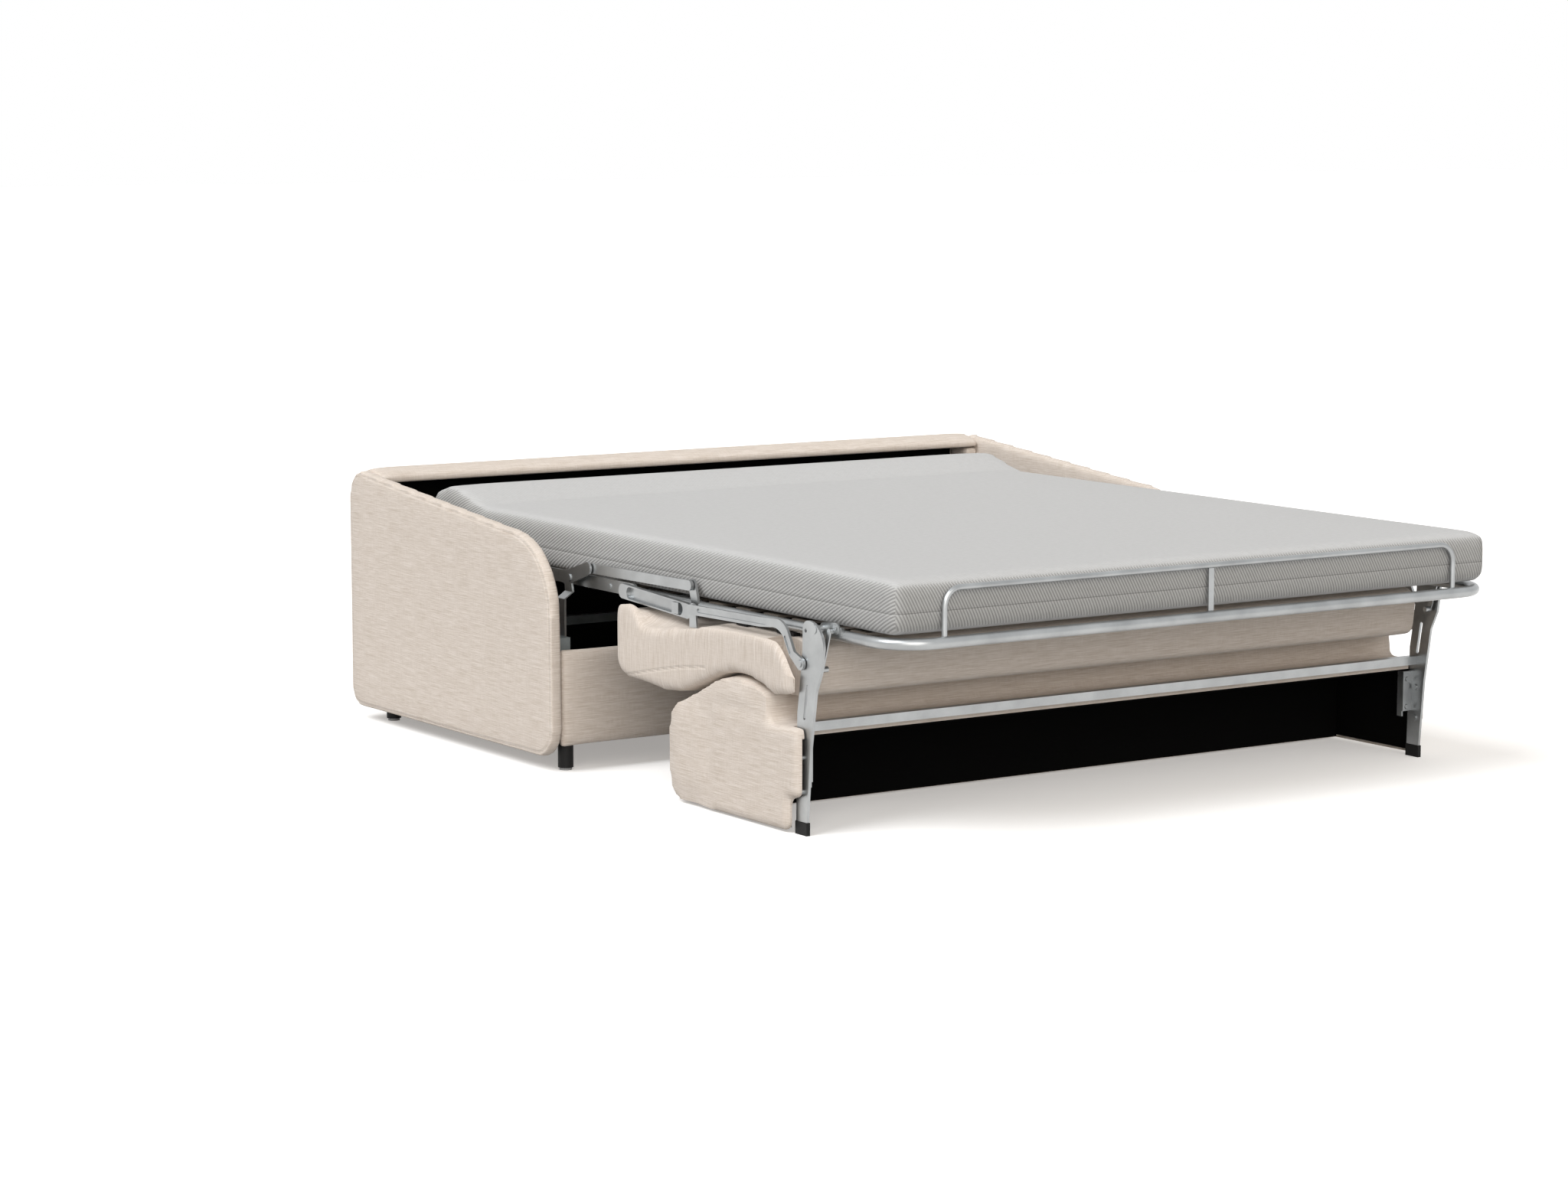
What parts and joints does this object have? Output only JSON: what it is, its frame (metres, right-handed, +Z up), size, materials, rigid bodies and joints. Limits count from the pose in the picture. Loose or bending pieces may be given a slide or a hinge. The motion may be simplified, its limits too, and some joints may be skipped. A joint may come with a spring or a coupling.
{
  "type": "sofa bed",
  "caption": "Upholstered sofa bed opened flat: folding steel frame carries a mattress between padded arms, with the seat and hollow backrest folded under the foot end.",
  "frame": {"origin": "floor level, in the middle of the opened sofa bed's box", "axes": "+Z up, +X to the right seen from the front, the sofa's front and the bed's foot end towards -Y"},
  "size_m": [1.844, 2.122, 0.609],
  "materials": {
    "woven_fabric": "beige weave",
    "mattress_ticking": "light grey knit",
    "black_lining": "black nonwoven",
    "black_plastic": "moulded",
    "black_steel": "satin black",
    "grey_steel": "satin grey",
    "grey_plastic": "moulded",
    "slat_wood": "plywood"
  },
  "bodies": {
    "sofa_body": {"arm_left": "woven_fabric", "arm_right": "woven_fabric", "back_top_rail": "woven_fabric", "back_board": "woven_fabric", "back_return_left": "woven_fabric", "back_return_right": "woven_fabric", "back_lining": "black_lining", "front_rail": "woven_fabric", "side_rail_left": "black_steel", "side_rail_right": "black_steel", "base_crossbar": "black_steel", "bottom_board": "slat_wood", "sofa_feet": "black_plastic", "sofa_glides": "grey_plastic", "post_left": "grey_steel", "post_right": "grey_steel", "post_rivets": "grey_steel", "head_rail_left": "grey_steel", "head_rail_right": "grey_steel", "head_crossbars": "grey_steel", "head_slats": "slat_wood", "mattress_head": "mattress_ticking"},
    "middle_section": {"channel_link_left": "grey_steel", "channel_link_right": "grey_steel", "link_bumpers": "grey_steel", "middle_frame": "grey_steel", "middle_slats": "slat_wood", "mattress_middle": "mattress_ticking"},
    "foot_section": {"foot_tube": "grey_steel", "foot_slats": "slat_wood", "guard_rail": "grey_steel", "guard_strut": "grey_steel", "leg_bracket_left": "grey_steel", "leg_bracket_right": "grey_steel", "mattress_foot": "mattress_ticking"},
    "leg_section": {"leg_left": "grey_steel", "leg_right": "grey_steel", "leg_caps": "black_plastic", "leg_crossbar": "grey_steel", "keyhole_bracket_left": "grey_steel", "keyhole_bracket_right": "grey_steel", "bracket_screws": "black_steel", "leg_bolts": "grey_steel", "backrest_cushion": "woven_fabric", "backrest_lining": "black_lining"},
    "seat_section": {"seat_cushion": "woven_fabric", "seat_glides": "black_plastic", "seat_lug_left": "grey_steel", "seat_lug_right": "grey_steel"},
    "upper_links": {"upper_link_left": "grey_steel", "upper_link_right": "grey_steel", "link_rivets": "grey_steel"},
    "rods": {"rod_left": "grey_steel", "rod_right": "grey_steel", "rod_rivets": "grey_steel"}
  },
  "joints": [
    {"name": "fold", "type": "hinge", "parent": "sofa_body", "child": "middle_section", "pos_m": [0, -0.069, 0.424], "axis": [-1, 0, 0], "range_deg": [0, 91.5], "deforming": ["mattress_middle"]},
    {"name": "foot_fold", "type": "hinge", "parent": "middle_section", "child": "foot_section", "pos_m": [0, -0.332, 0.409], "axis": [-1, 0, 0], "range_deg": [0, 88.52], "deforming": ["mattress_middle"]},
    {"name": "leg_fold", "type": "hinge", "parent": "foot_section", "child": "leg_section", "pos_m": [0, -0.816, 0.427], "axis": [-1, 0, 0], "range_deg": [0, 90.02]},
    {"name": "seat_slide", "type": "slide", "parent": "foot_section", "child": "seat_section", "axis": [0, -1, 0], "range_m": [0, 0.10912]},
    {"name": "upper_link_swing", "type": "hinge", "parent": "foot_section", "child": "upper_links", "pos_m": [0, -0.314, 0.461], "axis": [-1, 0, 0], "range_deg": [-137.41, 0]},
    {"name": "rod_swing", "type": "hinge", "parent": "seat_section", "child": "rods", "pos_m": [0, -0.361, 0.417], "axis": [-1, 0, 0], "range_deg": [0, 4.8]}
  ],
  "couplings": [
    {"joint": "foot_fold", "follows": "fold", "ratio": 0.96721},
    {"joint": "leg_fold", "follows": "fold", "ratio": 0.98361},
    {"joint": "seat_slide", "follows": "fold", "m_per_rad": 0.068317},
    {"joint": "upper_link_swing", "follows": "fold", "ratio": -1.5014},
    {"joint": "rod_swing", "follows": "fold", "ratio": 0.052459}
  ]
}
